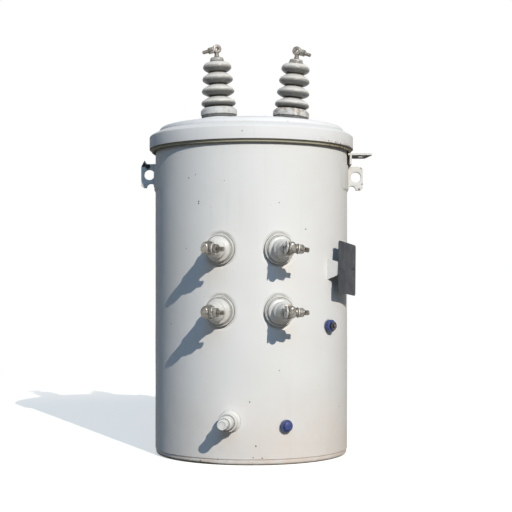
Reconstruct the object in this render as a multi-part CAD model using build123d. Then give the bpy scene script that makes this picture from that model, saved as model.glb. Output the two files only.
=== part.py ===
from build123d import *
import math
import os

# Pole mounted distribution transformer, single phase, oil filled. Millimetres.
# Origin on the tank's axis, on the underside of the bottom pan. +Z is up, the low voltage
# bushings look along -Y, the pole hangers along +Y, and the cover's ground side is +X.
# An azimuth is measured from -Y towards +X.

# Working allowances
cut_over = 1.0
weld_sink = 3.0
hexagon_chamfer_ratio = 0.06

# Tank
tank_radius = 205.0
shell_t = 3.0
tank_height = 656.0
pan_height = 13.0
pan_t = 4.0
pan_inset = 1.5
pan_corner = 6.0
rim_width = 8.8
rim_height = 8.0
rim_chamfer = 2.0
fit_gap = 0.3

# Cover and its clamping band
gasket_t = 5.0
gasket_width = 9.0
cover_t = 3.0
cover_inset = 7.2
cover_rise = 47.0
crown_radius = 965.0
shoulder_radius = 11.0
band_t = 3.5
band_lip_t = 3.0
band_below = 10.3
band_above = 8.0
band_top_lip_rise = 10.0
band_bottom_lip_drop = 7.2
band_bottom_lip_gap = 3.5
band_top_lip_gap = 2.0
band_low_round = 2.5
band_high_round = 4.0
band_split = 14.0
band_split_azimuth = 150.0
band_ear_reach = 26.0
band_ear_t = 5.0
band_ear_height = 22.0
band_bolt_radius = 4.0
band_bolt_flats = 13.6
band_bolt_head = 6.4
band_bolt_tail = 6.4

# High voltage bushings on the cover
hv_places = {"left": -69.0, "right": 84.2}
hv_lean_angles = {"left": 2.2, "right": 5.5}
hv_droop_angles = {"left": 16.0, "right": 16.0}
hv_turn_angles = {"left": 24.0, "right": -24.0}
hv_pad_rises = {"left": 6.0, "right": 3.6}
hv_pad_margin = 1.0
hv_shank_radius = 17.0
hv_shank_length = 42.0
hv_gasket_t = 7.0
hv_gasket_inset = 1.5
hv_ring_radius = 39.0
hv_ring_height = 16.0
hv_ring_chamfer = 6.0
hv_ring_round = 3.0
hv_foot_radius = 31.0
hv_foot_height = 10.0
hv_collar_radius = 25.0
hv_collar_drop = 1.0
hv_neck_radius = 17.6
hv_shed_radii = (37.0, 35.0, 32.75, 30.5)
hv_first_shed = 33.6
hv_shed_pitch = 25.7
hv_shed_edge = 4.6
hv_shed_rise = 12.5
hv_shed_drop = 11.2
hv_shed_round = 3.1
hv_neck_round = 1.4
hv_top_rise = 10.7
hv_cap_radius = 15.0
hv_cap_height = 10.0
hv_cap_lip = 0.8
hv_cap_lip_height = 3.5
hv_cap_taper = 1.5
hv_cap_round = 2.0
hv_stud_radius = 4.6
hv_stud_height = 9.0
eye_rise = 9.2
eye_radius = 9.5
eye_bore_radius = 3.4
eye_width = 12.0
eye_bolt_radius = 4.0
eye_bolt_length = 33.0
eye_tip_radius = 2.4
eye_tip_length = 1.5
eye_nut_flats = 13.5
eye_nut_height = 7.0
eye_washer_radius = 7.2
eye_washer_t = 1.6

# Low voltage bushings on the shell
lv_azimuths = {"left": -17.0, "right": 14.8}
lv_rows = {"upper": 428.0, "lower": 305.0}
lv_turn_angles = {"upper_left": 4.0, "upper_right": 6.0, "lower_left": 1.5, "lower_right": 2.0}
lv_seat_radius = 37.0
lv_hole_radius = 16.5
lv_gasket_t = 2.5
lv_flange_radius = 30.0
lv_flange_t = 8.0
lv_step_radius = 25.5
lv_step_t = 8.0
lv_flange_round = 2.5
lv_step_round = 3.0
lv_neck_rise = 2.0
lv_neck_taper = 1.0
lv_neck_radius = 18.5
lv_ridge_radius = 20.0
lv_ridge_height = 14.0
lv_ridge_t = 4.0
lv_ridge_slope = 3.0
lv_ridge_round = 1.5
lv_tip_radius = 14.5
lv_length = 60.0
lv_shank_length = 30.0
lv_shank_gap = 0.5
lv_stud_radius = 6.5
lv_stud_tail = 12.0
lv_spacer_radius = 10.0
lv_spacer_t = 4.5
lv_disc_radius = 14.5
lv_disc_t = 3.0
connector_radius = 12.0
connector_length = 29.0
connector_socket_depth = 8.5
connector_dome = 9.6
connector_edge = 1.2
cable_radius = 6.5
cable_centre = 16.5
clamp_boss_radius = 9.0
clamp_boss_reach = 12.6
clamp_bolt_radius = 5.0
clamp_bolt_end = 36.0
clamp_washer_radius = 10.4
clamp_washer_t = 1.8
clamp_nut_flats = 18.0
clamp_nut_height = 9.0
clamp_lock_radius = 7.6
clamp_lock_t = 2.0

# Lifting lugs at the two sides
lug_t = 10.0
lug_hole_radius = 11.0
lug_hole_offsets = {"left": 13.6, "right": 19.0}
lug_drops = {"left": 62.3, "right": 67.5}
lug_reaches = {"left": 31.0, "right": 34.0}
lug_ears = {"left": 8.6, "right": 0.0}
lug_above = 23.0
lug_below = 28.0
lug_chamfer = 6.0
lug_foot_chamfer = 5.0
lug_ear_tip = 7.0
lug_ear_width = 12.0
lug_scallop_radius = 9.0
lug_scallop_offset = 10.0
pad_half_angle = 28.0
pad_t = 2.5
pad_top_drop = 45.0
pad_height = 58.0

# Arrester bracket, an angle on the right side under the cover
arrester_drop = 19.0
arrester_t = 4.0
arrester_width = 74.0
arrester_shift = 3.0
arrester_reach = 51.0
arrester_leg = 24.0
arrester_chamfer = 60.0
arrester_chamfer_depth = 9.0
arrester_spacer_t = 3.7
arrester_spacer_width = 30.0
arrester_hole_offset = 5.0
arrester_hole_radius = 6.5

# Nameplate and its bracket
plate_azimuth = 60.0
plate_z = 391.4
plate_standoff = 21.0
plate_width = 80.0
plate_height = 106.0
plate_t = 1.6
plate_corner = 5.0
plate_roll = 6.1
plate_tilt = 2.3
strip_height = 25.0
strip_root_height = 47.0
strip_t = 2.5
strip_margin = 2.0
rivet_radius = 3.0
rivet_height = 1.6
rivet_inset = 7.0

# Ground terminal, sample plug and drain coupling on the shell
fitting_round = 1.5
ground_azimuth = 49.3
ground_z = 274.5
ground_boss_radius = 11.0
ground_boss_height = 3.0
ground_washer_radius = 12.5
ground_washer_t = 9.0
ground_head_radius = 7.5
ground_hex_height = 5.4
ground_head_height = 9.0
ground_stud_radius = 4.1
sample_azimuth = 19.2
sample_z = 78.5
sample_boss_radius = 10.5
sample_boss_height = 6.0
sample_flange_radius = 12.3
sample_flange_t = 5.0
sample_knob_flats = 15.0
sample_knob_height = 6.0
drain_azimuth = -12.1
drain_z = 87.0
drain_weld_radius = 22.5
drain_weld_height = 5.0
drain_coupling_radius = 19.0
drain_coupling_height = 22.0
drain_body_radius = 14.5
drain_body_height = 24.0
drain_groove_radius = 9.0
drain_groove_height = 3.0
drain_end_radius = 10.3
drain_end_height = 18.0

# Pole hangers at the back
hanger_z = {"upper": 520.0, "lower": 234.0}
hanger_standoff = 45.0
hanger_width = 96.0
hanger_height = 66.0
hanger_t = 6.0
hanger_bend = 8.0
hanger_slot_radius = 9.0
hanger_slot_length = 40.0

# Heights and radii that follow from the sizes above
plate_radius = tank_radius + plate_standoff
arrester_z = tank_height - arrester_drop
rim_radius = tank_radius + rim_width
brim_bottom = tank_height + gasket_t
brim_top = brim_bottom + cover_t
crown_z = brim_top + cover_rise
cover_wall_radius = tank_radius - cover_inset
band_inner = rim_radius + fit_gap
band_outer = band_inner + band_t
band_low = tank_height - band_below
band_high = brim_top + band_above
lv_seat_depth = math.sqrt(tank_radius**2 - lv_seat_radius**2)


def turned(outline, rounds=()):
    """A solid of revolution about Z. rounds holds (corner number, radius) pairs."""
    face = make_face(Polyline(*outline, close=True)).face()
    corners = [Vector(*point) for point in outline]
    for index, radius in rounds:
        vertex = min(face.vertices(), key=lambda v: (Vector(*v) - corners[index]).length)
        face = face.fillet_2d(radius, [vertex])
    return revolve(Plane.XZ * face, Axis.Z)


on_base = (Align.CENTER, Align.CENTER, Align.MIN)


def rod(radius, low, high):
    """A cylinder about Z between two heights."""
    return Pos(0, 0, low) * Cylinder(radius, high - low, align=on_base)


def tube(inner, outer, low, high):
    """A hollow cylinder about Z between two heights."""
    return rod(outer, low, high) - rod(inner, low - cut_over, high + cut_over)


def hexagon(flats, low, high):
    """A hexagonal prism about Z, its ends chamfered at 30 degrees."""
    half = flats / 2
    edge = flats * hexagon_chamfer_ratio
    reach = half + edge / math.tan(math.radians(30))
    prism = Pos(0, 0, low) * extrude(RegularPolygon(half, 6, major_radius=False), high - low)
    return prism & turned([(0, low), (half, low), (reach, low + edge),
                           (reach, high - edge), (half, high), (0, high)])


def radial_plane(azimuth, z, radius=0.0):
    """Local x is to the right, y up and z outward, at a place on the tank's side."""
    a = math.radians(azimuth)
    out = Vector(math.sin(a), -math.cos(a), 0)
    right = Vector(math.cos(a), math.sin(a), 0)
    return Plane(origin=out * radius + Vector(0, 0, z), x_dir=right, z_dir=out)


tank_body = rod(tank_radius, 0, tank_height)


def off_the_tank(shape):
    """Cuts the foot of a welded piece to the shell's curve."""
    return shape - tank_body


# Tank ---------------------------------------------------------------------------------------

def make_lv_planes():
    return {f"{row}_{side}": radial_plane(azimuth, z, lv_seat_depth)
            for row, z in lv_rows.items() for side, azimuth in lv_azimuths.items()}


def make_tank_wall(lv_planes):
    """The shell, with a flat round seat pressed into it for each low voltage bushing."""
    wall = tube(tank_radius - shell_t, tank_radius, pan_height, tank_height)
    outside = tank_radius - lv_seat_depth + cut_over
    for plane in lv_planes.values():
        wall += plane * rod(lv_seat_radius + shell_t, -shell_t, outside) & tank_body
        wall -= plane * rod(lv_seat_radius, 0, outside)
        wall -= plane * rod(lv_hole_radius, -shell_t - cut_over, cut_over)
    return wall


def make_tank_bottom():
    radius = tank_radius - pan_inset
    inside = radius - pan_t
    return turned([(0, 0), (radius, 0), (radius, pan_height),
                   (inside, pan_height), (inside, pan_t), (0, pan_t)],
                  [(1, pan_corner), (4, pan_corner - pan_t / 2)])


def make_tank_rim():
    low = tank_height - rim_height
    return turned([(tank_radius, low), (rim_radius - rim_chamfer, low),
                   (rim_radius, low + rim_chamfer), (rim_radius, tank_height),
                   (tank_radius, tank_height)])


# Cover --------------------------------------------------------------------------------------

def dome(radius, top, sphere, shoulder):
    """The space under a dished cover, from the brim's underside up to the crown."""
    edge_z = top - sphere + math.sqrt(sphere**2 - radius**2)
    middle = radius / 2
    middle_z = top - sphere + math.sqrt(sphere**2 - middle**2)
    outline = [ThreePointArc((0, top), (middle, middle_z), (radius, edge_z)),
               Line((radius, edge_z), (radius, brim_bottom)),
               Line((radius, brim_bottom), (0, brim_bottom)),
               Line((0, brim_bottom), (0, top))]
    face = make_face(outline).face()
    corner = Vector(radius, edge_z, 0)
    vertex = min(face.vertices(), key=lambda v: (Vector(*v) - corner).length)
    return revolve(Plane.XZ * face.fillet_2d(shoulder, [vertex]), Axis.Z)


def hv_plane(side):
    """Local z is along the bushing, and x points outward on both sides."""
    x = hv_places[side]
    outward = math.copysign(1, x)
    lean = math.radians(hv_lean_angles[side])
    seat_z = crown_z - crown_radius + math.sqrt(crown_radius**2 - x**2) + hv_pad_rises[side]
    return Plane(origin=(x, 0, seat_z), x_dir=(outward * math.cos(lean), 0, -math.sin(lean)),
                 z_dir=(outward * math.sin(lean), 0, math.cos(lean)))


def make_cover(hv_planes):
    inside = dome(cover_wall_radius - cover_t, crown_z - cover_t, crown_radius - cover_t,
                  shoulder_radius - cover_t)
    cover = dome(cover_wall_radius, crown_z, crown_radius, shoulder_radius)
    cover += rod(rim_radius, brim_bottom, brim_top)
    for side, plane in hv_planes.items():
        cover += plane * rod(hv_ring_radius + hv_pad_margin, -3 * hv_pad_rises[side], 0)
    cover -= inside
    for plane in hv_planes.values():
        cover -= plane * rod(hv_shank_radius + fit_gap, -hv_shank_length, cut_over)
    return cover


def make_cover_band():
    lip_low = band_low - band_bottom_lip_drop
    lip_high = band_high + band_top_lip_rise
    lip_bottom_r = tank_radius + band_bottom_lip_gap
    lip_top_r = cover_wall_radius + band_top_lip_gap
    low_slope = band_bottom_lip_drop / (band_outer - lip_bottom_r)
    high_slope = band_top_lip_rise / (band_outer - lip_top_r)
    band = turned([(lip_bottom_r, lip_low), (band_outer, band_low), (band_outer, band_high),
                   (lip_top_r, lip_high), (lip_top_r, lip_high - band_lip_t),
                   (band_inner, band_high - band_lip_t + band_t * high_slope),
                   (band_inner, band_low + band_lip_t - band_t * low_slope),
                   (lip_bottom_r, lip_low + band_lip_t)],
                  [(1, band_low_round), (2, band_high_round)])
    split = band_split_plane()
    band -= split * Box(band_split, 2 * (lip_high - lip_low), 2 * (band_outer - lip_top_r))
    ear = Box(band_ear_t, band_ear_height, band_ear_reach + band_t / 2, align=on_base)
    for side in (-1, 1):
        band += split * Pos(side * (band_split + band_ear_t) / 2, 0, band_t / 2) * ear
    half = band_split / 2 + band_ear_t + cut_over
    return band - band_bolt_place() * rod(band_bolt_radius + fit_gap, -half, half)


def band_split_plane():
    return radial_plane(band_split_azimuth, (band_low + band_high) / 2, band_inner)


def band_bolt_place():
    """Local z is along the bolt, across the band's split."""
    return band_split_plane() * Pos(0, 0, band_t + band_ear_reach / 2) * Rot(0, 90, 0)


def make_band_bolt():
    half = band_split / 2 + band_ear_t
    bolt = rod(band_bolt_radius, -half - band_bolt_head, half + band_bolt_head + band_bolt_tail)
    bolt += hexagon(band_bolt_flats, -half - band_bolt_head, -half)
    bolt += hexagon(band_bolt_flats, half, half + band_bolt_head)
    return band_bolt_place() * bolt


# High voltage bushings ----------------------------------------------------------------------

hv_foot_z = hv_gasket_t
hv_ring_top = hv_foot_z + hv_ring_height
hv_last_shed = hv_first_shed + hv_shed_pitch * (len(hv_shed_radii) - 1)
hv_top_z = hv_last_shed + hv_top_rise
hv_cap_top = hv_top_z + hv_cap_height
hv_eye_z = hv_cap_top + hv_stud_height + eye_rise


def make_hv_gasket():
    return tube(hv_shank_radius + fit_gap, hv_ring_radius - hv_gasket_inset, 0, hv_gasket_t)


def make_hv_ring():
    lip_z = hv_foot_z + hv_foot_height + fit_gap
    return turned([(hv_foot_radius + fit_gap, hv_foot_z), (hv_ring_radius, hv_foot_z),
                   (hv_ring_radius, hv_ring_top - hv_ring_chamfer),
                   (hv_ring_radius - hv_ring_chamfer, hv_ring_top),
                   (hv_collar_radius + fit_gap, hv_ring_top), (hv_collar_radius + fit_gap, lip_z),
                   (hv_foot_radius + fit_gap, lip_z)],
                  [(3, hv_ring_round)])


def make_hv_porcelain():
    foot_top = hv_foot_z + hv_foot_height
    outline = [(0, -hv_shank_length), (hv_shank_radius, -hv_shank_length),
               (hv_shank_radius, hv_foot_z), (hv_foot_radius, hv_foot_z),
               (hv_foot_radius, foot_top), (hv_collar_radius, foot_top),
               (hv_collar_radius, hv_ring_top - hv_collar_drop)]
    rounds = []
    for index, radius in enumerate(hv_shed_radii):
        z = hv_first_shed + index * hv_shed_pitch
        first = len(outline)
        outline += [(hv_neck_radius, z - hv_shed_drop), (radius, z - hv_shed_edge / 2),
                    (radius, z + hv_shed_edge / 2), (hv_neck_radius, z + hv_shed_rise)]
        rounds += [(first, hv_neck_round), (first + 1, hv_shed_round),
                   (first + 2, hv_shed_round), (first + 3, hv_neck_round)]
    outline[-1] = (hv_cap_radius, hv_top_z)
    return turned(outline + [(0, hv_top_z)], rounds[:-1])


def make_hv_cap():
    lip = hv_cap_radius + hv_cap_lip
    lip_top = hv_top_z + hv_cap_lip_height
    bore = hv_stud_radius + fit_gap
    return turned([(bore, hv_top_z), (lip, hv_top_z), (lip, lip_top), (hv_cap_radius, lip_top),
                   (hv_cap_radius - hv_cap_taper, hv_cap_top), (bore, hv_cap_top)],
                  [(2, hv_cap_lip / 2), (4, hv_cap_round)])


def eye_frame(droop):
    """Local z is along the clamping bolt, outward from the eye's centre."""
    angle = math.radians(droop)
    out = (math.cos(angle), 0, -math.sin(angle))
    return Plane(origin=(0, 0, hv_eye_z), x_dir=(0, 1, 0), z_dir=out)


def make_hv_terminal(droop):
    eye_place = Pos(0, 0, hv_eye_z) * Rot(90, 0, 0)
    terminal = rod(hv_stud_radius, hv_top_z, hv_eye_z)
    terminal += eye_place * Cylinder(eye_radius, eye_width)
    terminal -= eye_place * Cylinder(eye_bore_radius, eye_width + 2 * cut_over)
    shoulder_at = eye_bore_radius + eye_tip_length
    hole = rod(eye_tip_radius + fit_gap, 0, shoulder_at)
    hole += rod(eye_bolt_radius + fit_gap, shoulder_at, eye_radius + cut_over)
    return terminal - eye_frame(droop) * hole


def make_hv_clamp_bolt(droop):
    seat = eye_radius + fit_gap
    nut = seat + eye_washer_t
    shoulder_at = eye_bore_radius + eye_tip_length + fit_gap
    bolt = rod(eye_tip_radius, eye_bore_radius + fit_gap, shoulder_at)
    bolt += rod(eye_bolt_radius, shoulder_at, eye_bolt_length)
    bolt += rod(eye_washer_radius, seat, nut) + hexagon(eye_nut_flats, nut, nut + eye_nut_height)
    return eye_frame(droop) * bolt


# Low voltage bushings -----------------------------------------------------------------------

lv_disc_low = lv_length + lv_spacer_t
connector_low = lv_disc_low + lv_disc_t
cable_z = connector_low + cable_centre


def make_lv_gasket():
    return tube(lv_hole_radius, lv_flange_radius, 0, lv_gasket_t)


def make_lv_porcelain():
    bore = lv_stud_radius + fit_gap
    shank = lv_hole_radius - lv_shank_gap
    flange_top = lv_gasket_t + lv_flange_t
    step_top = flange_top + lv_step_t
    ridge_low = step_top + lv_ridge_height
    ridge_top = ridge_low + lv_ridge_t
    waist = lv_neck_radius - lv_neck_taper
    return turned([(bore, -lv_shank_length), (shank, -lv_shank_length), (shank, lv_gasket_t),
                   (lv_flange_radius, lv_gasket_t), (lv_flange_radius, flange_top),
                   (lv_step_radius, flange_top), (lv_step_radius, step_top),
                   (lv_neck_radius, step_top + lv_neck_rise), (waist, ridge_low - lv_ridge_slope),
                   (lv_ridge_radius, ridge_low), (lv_ridge_radius, ridge_top),
                   (waist - lv_neck_taper, ridge_top + lv_ridge_t),
                   (lv_tip_radius, lv_length), (bore, lv_length)],
                  [(4, lv_flange_round), (6, lv_step_round), (7, lv_step_round),
                   (9, lv_ridge_round), (10, lv_ridge_round), (12, lv_ridge_round)])


def make_lv_stud():
    tail = lv_shank_length + lv_stud_tail
    stud = rod(lv_stud_radius, -tail, connector_low + connector_socket_depth)
    stud += rod(lv_spacer_radius, lv_length, lv_disc_low)
    return stud + rod(lv_disc_radius, lv_disc_low, connector_low)


def clamp_place(turn):
    """Local z is along the clamp bolt, to the right, and local y stays up."""
    return Rot(0, 0, -turn) * Pos(0, 0, cable_z) * Rot(0, 90, 0)


def make_lv_connector(turn):
    top = connector_low + connector_length
    socket_top = connector_low + connector_socket_depth + fit_gap
    clamp = clamp_place(turn)
    body = turned([(0, connector_low), (connector_radius, connector_low),
                   (connector_radius, top), (0, top)],
                  [(1, connector_edge), (2, connector_dome)])
    body += clamp * rod(clamp_boss_radius, 0, clamp_boss_reach)
    body -= rod(lv_stud_radius + fit_gap, connector_low - cut_over, socket_top)
    body -= clamp * Rot(90, 0, 0) * Cylinder(cable_radius, 2 * (connector_radius + cut_over))
    return body - clamp * rod(clamp_bolt_radius + fit_gap, 0, clamp_boss_reach + cut_over)


def make_lv_clamp_bolt(turn):
    seat = clamp_boss_reach
    nut = seat + clamp_washer_t
    lock = nut + clamp_nut_height
    bolt = rod(clamp_bolt_radius, cable_radius + fit_gap, clamp_bolt_end)
    bolt += rod(clamp_washer_radius, seat, nut) + hexagon(clamp_nut_flats, nut, lock)
    bolt += rod(clamp_lock_radius, lock, lock + clamp_lock_t)
    return clamp_place(turn) * bolt


# Brackets -----------------------------------------------------------------------------------

def make_lug_pad(facing):
    """The curved pad that spreads a lug's load over the shell."""
    top = tank_height - pad_top_drop
    reach = 2 * tank_radius
    half = reach * math.tan(math.radians(pad_half_angle))
    wedge = make_face(Polyline((0, 0), (reach, half), (reach, -half), close=True))
    pad = tube(tank_radius, tank_radius + pad_t, top - pad_height, top)
    return pad & Pos(0, 0, top - pad_height) * extrude(mirror_to(facing) * wedge, pad_height)


def mirror_to(facing):
    """Turns what is drawn for the +X side to the side that facing names, 1 or -1."""
    return Rot(0, 0, 90 - 90 * facing)


def make_lug(side):
    """A lifting lug in the XZ plane, with a scallop under it and, on the left, a bent-up ear."""
    facing = 1 if side == "right" else -1
    reach = lug_reaches[side]
    ear = lug_ears[side]
    outline = [(-weld_sink, -lug_below), (reach - lug_foot_chamfer, -lug_below),
               (reach, lug_foot_chamfer - lug_below), (reach, lug_above - lug_chamfer)]
    if ear:
        outline += [(reach - lug_ear_tip, lug_above + ear), (reach - lug_ear_width, lug_above)]
    else:
        outline += [(reach - lug_chamfer, lug_above)]
    plate = make_face(Polyline(*outline, (-weld_sink, lug_above), close=True))
    plate -= Pos(lug_scallop_offset, -lug_below) * Circle(lug_scallop_radius)
    plate -= Pos(lug_hole_offsets[side], 0) * Circle(lug_hole_radius)
    plane = Plane(origin=(facing * tank_radius, 0, tank_height - lug_drops[side]),
                  x_dir=(facing, 0, 0), z_dir=(0, -facing, 0))
    lug = extrude(plane * plate, lug_t / 2, both=True) + make_lug_pad(facing)
    return off_the_tank(lug)


def make_arrester_bracket():
    inner = tank_radius + fit_gap
    outer = tank_radius + arrester_reach
    front = arrester_shift - arrester_width / 2
    back = arrester_shift + arrester_width / 2
    shelf = make_face(Polyline((inner, front), (outer, front), (outer, back - arrester_chamfer),
                               (outer - arrester_chamfer_depth, back), (inner, back),
                               close=True))
    hole_x = (inner + outer) / 2 + arrester_hole_offset
    shelf -= Pos(hole_x, arrester_shift) * Circle(arrester_hole_radius)
    bracket = Pos(0, 0, arrester_z - arrester_t) * extrude(shelf, arrester_t)
    hanging = (Align.MIN, Align.CENTER, Align.MAX)
    leg = Box(arrester_t, arrester_width, arrester_leg, align=hanging)
    spacer = Box(arrester_spacer_t, arrester_spacer_width, arrester_leg, align=hanging)
    bracket += Pos(inner + arrester_spacer_t, arrester_shift, arrester_z) * leg
    bracket += Pos(inner, arrester_shift, arrester_z) * spacer
    return off_the_tank(bracket)


def plate_frame():
    """Local x to the right, y up and z outward, on the back of the nameplate."""
    upright = radial_plane(plate_azimuth, plate_z, plate_radius)
    return Plane(upright.location * Rot(-plate_tilt, 0, 0))


def make_nameplate_bracket():
    half = plate_width / 2 - strip_margin
    bracket = Box(2 * half, strip_height, strip_t,
                  align=(Align.CENTER, Align.CENTER, Align.MAX))
    depth = plate_radius - tank_radius + half**2 / tank_radius + strip_t
    wing = make_face(Polyline((-strip_root_height / 2, -depth), (strip_root_height / 2, -depth),
                              (strip_height / 2, 0), (-strip_height / 2, 0), close=True))
    for x in (-half, half - strip_t):
        bracket += Pos(x, 0, 0) * extrude(Plane.YZ * wing, strip_t)
    for side in (-1, 1):
        hole = rod(rivet_radius / 2 + fit_gap, -strip_t - cut_over, cut_over)
        bracket -= Pos(side * (half - rivet_inset), 0, 0) * hole
    return off_the_tank(plate_frame() * bracket)


def make_nameplate():
    plate = extrude(RectangleRounded(plate_width, plate_height, plate_corner), plate_t)
    plate = Rot(0, 0, -plate_roll) * plate
    half = plate_width / 2 - strip_margin
    shank = rivet_radius / 2
    top = plate_t + rivet_height
    rivet = turned([(0, -strip_t), (shank, -strip_t), (shank, plate_t / 2),
                    (rivet_radius, plate_t / 2), (rivet_radius, plate_t + rivet_height / 3),
                    (shank, top), (0, top)])
    for side in (-1, 1):
        plate += Pos(side * (half - rivet_inset), 0, 0) * rivet
    return plate_frame() * plate


def make_hanger(z):
    """A bent channel whose flat web bears on the pole, with one upright closed slot."""
    depth = hanger_standoff + hanger_width**2 / tank_radius / 4
    section = Rectangle(hanger_width, depth, align=(Align.CENTER, Align.MAX))
    section = fillet(section.vertices().group_by(Axis.Y)[-1], hanger_bend)
    inner = Rectangle(hanger_width - 2 * hanger_t, depth, align=(Align.CENTER, Align.MAX))
    inner = fillet(inner.vertices().group_by(Axis.Y)[-1], hanger_bend - hanger_t / 2)
    channel = extrude(section - Pos(0, -hanger_t) * inner, hanger_height / 2, both=True)
    slot = SlotOverall(hanger_slot_length, 2 * hanger_slot_radius, rotation=90)
    channel -= extrude(Plane.XZ * slot, hanger_t + cut_over, both=True)
    return off_the_tank(Pos(0, tank_radius + hanger_standoff, z) * channel)


# Fittings on the shell ----------------------------------------------------------------------

def make_ground():
    plane = radial_plane(ground_azimuth, ground_z, tank_radius)
    washer_low = ground_boss_height
    head_low = washer_low + ground_washer_t
    head_top = head_low + ground_head_height
    boss = off_the_tank(plane * rod(ground_boss_radius, -weld_sink, ground_boss_height))
    bore = ground_stud_radius + fit_gap
    washer = plane * turned([(bore, washer_low), (ground_washer_radius, washer_low),
                             (ground_washer_radius, head_low), (bore, head_low)],
                            [(2, fitting_round)])
    head = hexagon(2 * ground_head_radius, head_low, head_low + ground_hex_height)
    head += turned([(0, washer_low), (ground_stud_radius, washer_low),
                    (ground_stud_radius, head_top), (0, head_top)], [(2, fitting_round)])
    return boss, washer, plane * head


def make_sample():
    plane = radial_plane(sample_azimuth, sample_z, tank_radius)
    flange_low = sample_boss_height
    knob_low = flange_low + sample_flange_t
    boss = off_the_tank(plane * rod(sample_boss_radius, -weld_sink, sample_boss_height))
    plug = turned([(0, flange_low), (sample_flange_radius, flange_low),
                   (sample_flange_radius, knob_low), (0, knob_low)], [(2, fitting_round)])
    plug += hexagon(sample_knob_flats, knob_low, knob_low + sample_knob_height)
    return boss, plane * plug


def make_drain():
    plane = radial_plane(drain_azimuth, drain_z, tank_radius)
    body_low = drain_coupling_height
    body_high = body_low + drain_body_height
    end_low = body_high + drain_groove_height
    end_high = end_low + drain_end_height
    coupling = turned([(0, -weld_sink), (drain_weld_radius, -weld_sink), (drain_weld_radius, 0),
                       (drain_coupling_radius, drain_weld_height),
                       (drain_coupling_radius, body_low), (0, body_low)], [(4, fitting_round)])
    plug = turned([(0, body_low), (drain_body_radius, body_low), (drain_body_radius, body_high),
                   (drain_groove_radius, body_high), (drain_groove_radius, end_low),
                   (drain_end_radius, end_low), (drain_end_radius, end_high), (0, end_high)],
                  [(2, fitting_round), (6, fitting_round)])
    return off_the_tank(plane * coupling), plane * plug


# The assembly -------------------------------------------------------------------------------

def make_parts():
    lv_planes = make_lv_planes()
    hv_planes = {side: hv_plane(side) for side in hv_places}
    parts = {
        "tank_wall": make_tank_wall(lv_planes),
        "tank_bottom": make_tank_bottom(),
        "tank_rim": make_tank_rim(),
        "cover_gasket": tube(rim_radius - gasket_width, rim_radius, tank_height, brim_bottom),
        "cover": make_cover(hv_planes),
        "cover_band": make_cover_band(),
        "band_bolt": make_band_bolt(),
        "hv_gaskets": Compound(children=[plane * make_hv_gasket() for plane in hv_planes.values()]),
        "lv_gaskets": Compound(children=[plane * make_lv_gasket() for plane in lv_planes.values()]),
        "arrester_bracket": make_arrester_bracket(),
        "nameplate_bracket": make_nameplate_bracket(),
        "nameplate": make_nameplate(),
    }
    for side, plane in hv_planes.items():
        parts[f"hv_{side}_ring"] = plane * make_hv_ring()
        parts[f"hv_{side}_porcelain"] = plane * make_hv_porcelain()
        parts[f"hv_{side}_cap"] = plane * make_hv_cap()
        turned_plane = plane * Rot(0, 0, hv_turn_angles[side])
        parts[f"hv_{side}_terminal"] = turned_plane * make_hv_terminal(hv_droop_angles[side])
        parts[f"hv_{side}_clamp_bolt"] = turned_plane * make_hv_clamp_bolt(hv_droop_angles[side])
    for place, plane in lv_planes.items():
        turn = lv_turn_angles[place]
        parts[f"lv_{place}_porcelain"] = plane * make_lv_porcelain()
        parts[f"lv_{place}_stud"] = plane * make_lv_stud()
        parts[f"lv_{place}_connector"] = plane * make_lv_connector(turn)
        parts[f"lv_{place}_clamp_bolt"] = plane * make_lv_clamp_bolt(turn)
    for side in lug_drops:
        parts[f"lifting_lug_{side}"] = make_lug(side)
    for level, z in hanger_z.items():
        parts[f"pole_hanger_{level}"] = make_hanger(z)
    parts["ground_boss"], parts["ground_washer"], parts["ground_bolt"] = make_ground()
    parts["sample_boss"], parts["sample_plug"] = make_sample()
    parts["drain_coupling"], parts["drain_plug"] = make_drain()
    return parts


os.makedirs("parts", exist_ok=True)
for name, shape in make_parts().items():
    export_step(shape, f"parts/{name}.step")
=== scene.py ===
import math
import bmesh
import bpy
from mathutils import Matrix, Vector, noise
from mathutils.geometry import tessellate_polygon


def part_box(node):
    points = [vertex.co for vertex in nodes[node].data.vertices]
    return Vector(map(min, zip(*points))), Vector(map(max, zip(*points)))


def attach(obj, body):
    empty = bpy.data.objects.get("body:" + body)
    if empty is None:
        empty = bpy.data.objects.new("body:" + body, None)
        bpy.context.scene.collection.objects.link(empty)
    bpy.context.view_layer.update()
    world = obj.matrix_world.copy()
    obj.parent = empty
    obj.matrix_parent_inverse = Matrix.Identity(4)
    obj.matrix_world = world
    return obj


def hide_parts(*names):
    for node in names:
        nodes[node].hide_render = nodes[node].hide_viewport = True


# A pole mounted distribution transformer, dressed over its CAD frame. Shapes are drawn in
# millimetres and stored in metres, in the row frame: +Z up, the low voltage bushings along -Y.
# An azimuth is measured in degrees from -Y towards +X.

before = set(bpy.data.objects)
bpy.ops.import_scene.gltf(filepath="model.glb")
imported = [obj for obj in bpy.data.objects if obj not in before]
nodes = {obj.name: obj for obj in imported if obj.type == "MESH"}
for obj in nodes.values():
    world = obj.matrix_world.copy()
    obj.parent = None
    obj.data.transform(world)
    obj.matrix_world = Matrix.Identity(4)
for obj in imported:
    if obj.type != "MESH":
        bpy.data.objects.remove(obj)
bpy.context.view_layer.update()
mm = 0.001
tau = 2 * math.pi


# Shapes -------------------------------------------------------------------------------------

class Form:
    """Points in millimetres and the faces between them, gathered from several shapes."""

    def __init__(self, *shapes):
        self.points, self.faces = [], []
        for shape in shapes:
            self.add(shape)

    def add(self, shape, place=Matrix()):
        first = len(self.points)
        points, faces = (shape.points, shape.faces) if isinstance(shape, Form) else shape
        self.points += [place @ Vector(point) for point in points]
        self.faces += [[first + i for i in face] for face in faces]
        return self


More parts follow.
